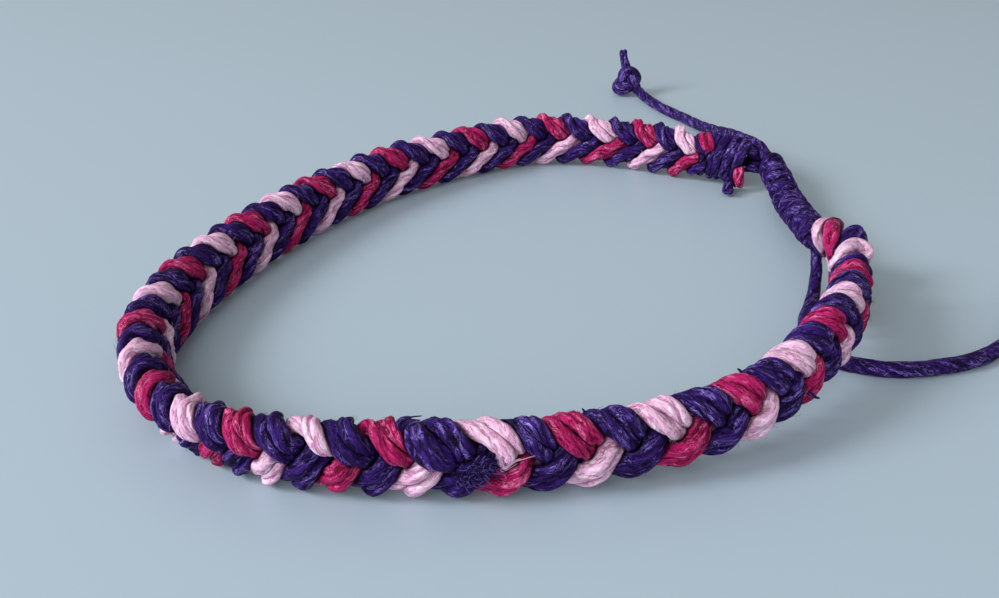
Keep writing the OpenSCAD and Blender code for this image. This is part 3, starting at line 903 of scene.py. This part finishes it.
def press(cord_list):
    """Flattens all cords against each other, ring by ring, and marks each point's nearness to a neighbour."""
    owners = np.concatenate([np.full(len(cord["line"]), k) for k, cord in enumerate(cord_list)])
    reaches, radii, centres = (
        np.concatenate([cord[key] for cord in cord_list]) for key in ("reach", "radius", "line"))
    finder = kdtree.KDTree(len(centres))
    for i, centre in enumerate(centres):
        finder.insert(centre, i)
    finder.balance()
    ends = [(k, cord["line"][place]) for k, cord in enumerate(cord_list) for place in (0, -1)]
    widest = radii.max()
    moved = 0
    for k, cord in enumerate(cord_list):
        mesh, line, sides = cord["mesh"], cord["line"], cord["sides"]
        places = np.empty(len(mesh.vertices) * 3)
        mesh.vertices.foreach_get("co", places)
        count = len(line) * sides
        rings = (places.reshape(-1, 3)[:count] / MM).reshape(len(line), sides, 3)
        crease = np.zeros(len(mesh.vertices))
        joints = [(other, end) for other, end in ends if other != k
                  for own in (line[0], line[-1]) if np.linalg.norm(end - own) < JOINED_WITHIN]
        for i, (centre, radius) in enumerate(zip(line, cord["radius"])):
            near = np.array([j for _, j, _ in finder.find_range(centre, radius + widest + CREASE_WIDTH)])
            near = near[(owners[near] != k) | (abs(reaches[near] - cord["reach"][i]) > SAME_CORD_APART)]
            for other, end in joints:
                through = np.linalg.norm(centre - end) + np.linalg.norm(centres[near] - end, axis=1)
                near = near[(owners[near] != other) | (through > SAME_CORD_APART)]
            if not len(near):
                continue
            way = centres[near] - centre
            apart = np.maximum(np.linalg.norm(way, axis=1), LEAST_APART)
            way = way / apart[:, None]
            limit = apart / 2 + (radius ** 2 - radii[near] ** 2) / (2 * apart) - SEAM
            for j in np.flatnonzero(limit < radius * OUT_OF_REACH):
                past = (rings[i] - centre) @ way[j] - limit[j]
                if past.max() > 0:
                    rings[i] -= np.outer(np.maximum(past, 0), way[j])
                    moved += 1
            # The crease value: how near a neighbour is, which the finishes paint dark as shade
            nearness = ((rings[i] - centre) @ way.T - limit - SAME_CREASE * (owners[near] == k)).max(axis=1)
            crease[i * sides:(i + 1) * sides] = np.clip(1 + nearness / CREASE_WIDTH, 0, 1)
        rings[..., 2] = np.maximum(rings[..., 2], TABLE_GAP)
        places.reshape(-1, 3)[:count] = rings.reshape(-1, 3) * MM
        mesh.vertices.foreach_set("co", places)
        mesh.attributes.new("crease", "FLOAT", "POINT").data.foreach_set("value", crease)
        mesh.update()
    return moved


print("planes that pressed a ring:", press(cords))

# %% [markdown]
# ## Stray ends, a frayed spot and fuzz
#
# Handwork leaves traces. A cut end stands up beside one leaf, three thin ends stick out elsewhere, a few
# pink threads curl over a leaf, and one purple leaf has come undone into curly fibres. The ends are placed
# one by one, on the band's own directions, and the curly fibres by chance within one spot.

# %% The stray ends
# Columns: colour, thickness, then the line as (turn, across, outward) in mm about the band's middle
stray_ends = [
    ("purple", 0.52, [(11.10, -1.8, 0.15), (11.08, -2.15, 0.4), (11.068, -2.46, 0.5), (11.088, -2.72, 0.5),
                      (11.13, -2.84, 0.45)]),
    ("purple", 0.14, [(11.08, -2.68, 0.5), (11.13, -2.88, 0.5), (11.175, -2.90, 0.4)]),
    ("purple", 0.14, [(11.08, -2.63, 0.5), (11.13, -2.73, 0.55), (11.17, -2.76, 0.6)]),
    ("purple", 0.24, [(12.02, -2.0, 0.2), (12.04, -2.45, 0.2), (12.03, -2.7, 0.1)]),
    ("purple", 0.26, [(13.02, -1.8, 0.0), (13.00, -2.3, 0.0), (12.97, -2.6, 0.0)]),
    ("purple", 0.28, [(13.52, 1.1, 1.0), (13.54, 1.45, 1.3), (13.56, 1.6, 1.5)]),
    ("pink", 0.24, [(11.56, -0.6, 1.1), (11.575, -0.2, 1.4), (11.60, -0.3, 1.6), (11.63, -0.65, 1.65),
                    (11.67, -0.8, 1.55)]),
    ("pink", 0.11, [(11.57, -0.6, 1.2), (11.59, -0.3, 1.6), (11.63, -0.7, 1.7), (11.69, -0.85, 1.65),
                    (11.75, -0.9, 1.5)]),
    ("pink", 0.08, [(11.56, -0.4, 1.2), (11.575, 0.0, 1.5), (11.61, -0.25, 1.65), (11.65, -0.6, 1.7)])]
STRAY_TAPER = 0.45
stray_meshes = {"purple": [], "pink": []}
for number, (colour, thickness, rows) in enumerate(stray_ends):
    line = line_through([in_band(*row) for row in rows], step=0.08)
    line = np.column_stack([line, np.linspace(1, STRAY_TAPER, len(line))])
    stray_meshes[colour].append(cord_mesh(
        "stray_end", line, thickness, seed=1001.0 + 7 * number, colour=colour, sides=8, tips=(1.0, 0.5),
        ridges=0.0))
print(len(stray_ends), "stray ends")

# %% The frayed spot
FRAYED_TURN, FRAYED_ACROSS, FRAYED_OUT = 11.46, 0.15, 1.40
FRAYED_SLANT = 0.06
# How many fibres take the cord's own purple, and how many its lighter copy, painted light for lit curls
DARK_FIBRES, LIT_FIBRES = 70, 50
FRAYED_THICKNESS, FRAYED_POINTS = 0.06, 7
# How far from the spot's middle a fibre starts, across in mm and along in turns, and how far it curls,
# reaches and rises: in radians, then mm
FRAYED_HALF_WIDTH, FRAYED_ALONG = 0.75, (-0.07, 0.05)
FRAYED_CURL, FRAYED_REACH, FRAYED_RISE = 6.5, (0.5, 1.2), (0.05, 0.30)
# One mm along the band, in turns of the pattern
TURNS_PER_MM = 0.11
chance = np.random.default_rng(77)


def frayed_fibre():
    """One fibre that has come loose: it starts and ends near the leaf and curls in between."""
    across = FRAYED_ACROSS + chance.uniform(-FRAYED_HALF_WIDTH, FRAYED_HALF_WIDTH)
    turn = FRAYED_TURN + chance.uniform(*FRAYED_ALONG) - FRAYED_SLANT * across
    heading, curl = chance.uniform(0, 2 * math.pi), chance.uniform(-FRAYED_CURL, FRAYED_CURL)
    reach, rise = chance.uniform(*FRAYED_REACH), chance.uniform(*FRAYED_RISE)
    rows = []
    for part in np.linspace(0, 1, FRAYED_POINTS):
        angle = heading + curl * part
        turn += math.cos(angle) * reach / FRAYED_POINTS * TURNS_PER_MM
        across += math.sin(angle) * reach / FRAYED_POINTS
        rows.append(in_band(turn, across, FRAYED_OUT + rise * math.sin(math.pi * part)))
    return line_through(rows, step=0.1)


for count, colour in ((DARK_FIBRES, "purple"), (LIT_FIBRES, "loose")):
    lines = [frayed_fibre() for _ in range(count)]
    stray_meshes["purple"].append(tubes(
        "frayed", lines, [np.ones(len(line)) for line in lines], FRAYED_THICKNESS, colour,
        seed=1201.0, sides=4, twist=0.0, ridges=0.0))
print(DARK_FIBRES + LIT_FIBRES, "loose fibres in the frayed spot")

# %% [markdown]
# The fuzz is different: it is everywhere and no hair matters by itself. So a Geometry Nodes tree scatters
# short bent hairs over each finished strand, each one turned and sized by chance. The hairs take their
# colour from the same finishes.

# %% The fuzz tree
# No hair grows lower than this above the table, in mm, and none is shorter than this share of the longest
LOWEST_HAIR, SHORTEST_SHARE = 1.0, 0.35
tree, given = group_tree("fuzz", {
    "Hairs per mm2": "Float", "Longest": "Float", "Thickness": "Float", "Seed": "Int", "Finish": "Material"})
scattered = tree.add("GeometryNodeDistributePointsOnFaces", {
    "Mesh": given["Geometry"], "Density": given["Hairs per mm2"] * (1 / MM ** 2), "Seed": given["Seed"]})
hair = tree.add("GeometryNodeCurveQuadraticBezier", {
    "Resolution": 4, "Start": (0, 0, -0.06), "Middle": (0.1, 0.5, 0.35), "End": (0.55, 0.75, 0.30)})
circle = tree.add("GeometryNodeCurvePrimitiveCircle", {"Resolution": 3, "Radius": 0.5})
hair_mesh = tree.add("GeometryNodeCurveToMesh", {
    "Curve": hair, "Profile Curve": circle, "Scale": given["Thickness"], "Fill Caps": True})
normal = Value(tree, scattered.outputs["Normal"])
upright = tree.add("FunctionNodeAlignRotationToVector", {"Vector": normal}, axis="Z")
spin = tree.add("FunctionNodeRandomValue", {"Min": 0.0, "Max": 2 * math.pi, "Seed": given["Seed"]})
about_normal = tree.add("FunctionNodeAxisAngleToRotation", {
    "Axis": (0, 0, 1), "Angle": tree.typed(spin, "VALUE")})
turned = tree.add("FunctionNodeRotateRotation", {"Rotation": upright, "Rotate By": about_normal},
                  rotation_space="LOCAL")
size = tree.add("FunctionNodeRandomValue", {"Min": SHORTEST_SHARE, "Max": 1.0, "Seed": given["Seed"] + 5})
place = tree.value("GeometryNodeInputPosition")
planted = tree.add("GeometryNodeInstanceOnPoints", {
    "Points": scattered, "Instance": hair_mesh, "Rotation": turned,
    "Selection": tree.part(place, "Z").maths("GREATER_THAN", LOWEST_HAIR * MM),
    "Scale": tree.typed(size, "VALUE") * given["Longest"] * MM})
fuzz_group = end_tree(tree, planted, tree.vectors("SCALE", place, Scale=1 / MM), given["Finish"])
print("fuzz tree:", len(fuzz_group.nodes), "nodes")

# %% The fuzz
HAIRS_PER_MM2, LONGEST_HAIR, HAIR_SHARE = 0.6, 0.55, 0.04
fuzz_meshes = {}
for number, (name, mesh) in enumerate(strand_meshes.items()):
    carrier = in_scene(name + "_carrier", mesh)
    fuzz_meshes[name] = made_by(fuzz_group, carrier, {
        "Hairs per mm2": HAIRS_PER_MM2, "Longest": LONGEST_HAIR, "Thickness": HAIR_SHARE, "Seed": 11 + number,
        "Finish": finishes[strand_colours[name]]})
    fuzz_meshes[name].name = "fuzz_" + name
    bpy.data.objects.remove(carrier)
    print("fuzz on %s: %d triangles" % (name, len(fuzz_meshes[name].polygons) * 2))

# %% [markdown]
# ## The pieces
#
# Each piece is one object, joined from its meshes. It rides on the body and replaces the CAD node that it
# stands for, if there is one. The two tails are free cord.


# %% The pieces
def piece_of(name, meshes, colour, *replaced):
    """One scene piece from one or more meshes, riding on the body and standing for CAD nodes."""
    thing = in_scene(name, meshes[0])
    if len(meshes) > 1:
        others = [in_scene(name + "_part", mesh) for mesh in meshes[1:]]
        with bpy.context.temp_override(active_object=thing, selected_editable_objects=[thing, *others]):
            bpy.ops.object.join()
    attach(thing, "root")
    colour + "_cord"
    if replaced:
        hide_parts(*replaced)
    return thing


for name, mesh in fuzz_meshes.items():
    piece_of("fuzz_" + name, [mesh], strand_colours[name])
for colour, meshes in stray_meshes.items():
    piece_of("stray_ends_" + colour, meshes, colour)
for name, mesh in strand_meshes.items():
    piece_of("braid_" + name, [mesh], strand_colours[name], "strand_" + name)
piece_of("end_coil", [wrap_mesh, core_mesh], "purple", "end_wrap")
piece_of("square_knots", knot_meshes, "purple", "sliding_knot")
piece_of("magenta_turn", [turn_mesh], "magenta")
piece_of("closing_pair", closing_meshes, "purple", "closing_cords")
piece_of("loop_cord", [loop_mesh], "purple", "closing_loop")
for colour, mesh in cut_meshes.items():
    piece_of("cut_end_of_" + colour, [mesh], colour, "cut_end_" + colour)
end_knots = [piece_of(end + "_end_knot", [mesh], "purple", "tail_%s_knot" % end)
             for end, mesh in end_knot_meshes.items()]
tails = [piece_of(end + "_tail", [mesh], "purple", "tail_" + end)
         for end, mesh in (("far", far_tail_mesh), ("near", near_tail_mesh))]
for tail, line, end_knot in zip(tails, (far_tail_line, near_tail_line), end_knots):
    line[0] * MM
    line * MM
print("pieces made from", len(cords), "cords")

# %% [markdown]
# ## The table and the light
#
# The bracelet lies on a plain pale blue-grey table in soft daylight. Large area lights stand for the sky:
# a broad one from above and behind on the left, and a weak fill from the front.

# %% The table
TABLE_COLOUR, TABLE_ROUGHNESS = (0.375, 0.455, 0.535, 1), 0.45
HALF_TABLE = 0.9
corners = [(x * HALF_TABLE, y * HALF_TABLE, 0) for x, y in ((-1, -1), (1, -1), (1, 1), (-1, 1))]
table_mesh = bpy.data.meshes.new("table")
table_mesh.from_pydata(corners, [], [(0, 1, 2, 3)])
table_finish = bpy.data.materials.new("pale_table")
table_finish.use_nodes = True
table_shader = table_finish.node_tree.nodes["Principled BSDF"]
table_shader.inputs["Base Color"].default_value = TABLE_COLOUR
table_shader.inputs["Roughness"].default_value = TABLE_ROUGHNESS
table_mesh.materials.append(table_finish)
in_scene("table", table_mesh)
print("table %.1f m across" % (2 * HALF_TABLE))

# %% The light
DAYLIGHT = (0.95, 0.98, 1.0)
SKY_COLOUR, SKY_STRENGTH = (0.96, 1.0, 0.95, 1), 0.40
# Columns: name, place and size in metres, watts. Each one is aimed at the ring
for name, place, size, watts in (("window_light", (-0.58, -0.17, 0.38), 0.28, 4.4),
                                 ("front_fill", (-0.26, -0.58, 0.36), 0.7, 3.8)):
    data = bpy.data.lights.new(name, "AREA")
    data.shape, data.size, data.energy, data.color = "DISK", size, watts, DAYLIGHT
    light = in_scene(name, data)
    light.location = place
    light.rotation_euler = (-Vector(place)).to_track_quat("-Z", "Y").to_euler()
    print("%s: %.1f W" % (name, watts))
world = bpy.data.worlds.new("room")
world.use_nodes = True
sky = world.node_tree.nodes["Background"]
sky.inputs["Color"].default_value = SKY_COLOUR
sky.inputs["Strength"].default_value = SKY_STRENGTH
bpy.context.scene.world = world
bpy.context.scene.view_settings.view_transform = "Standard"
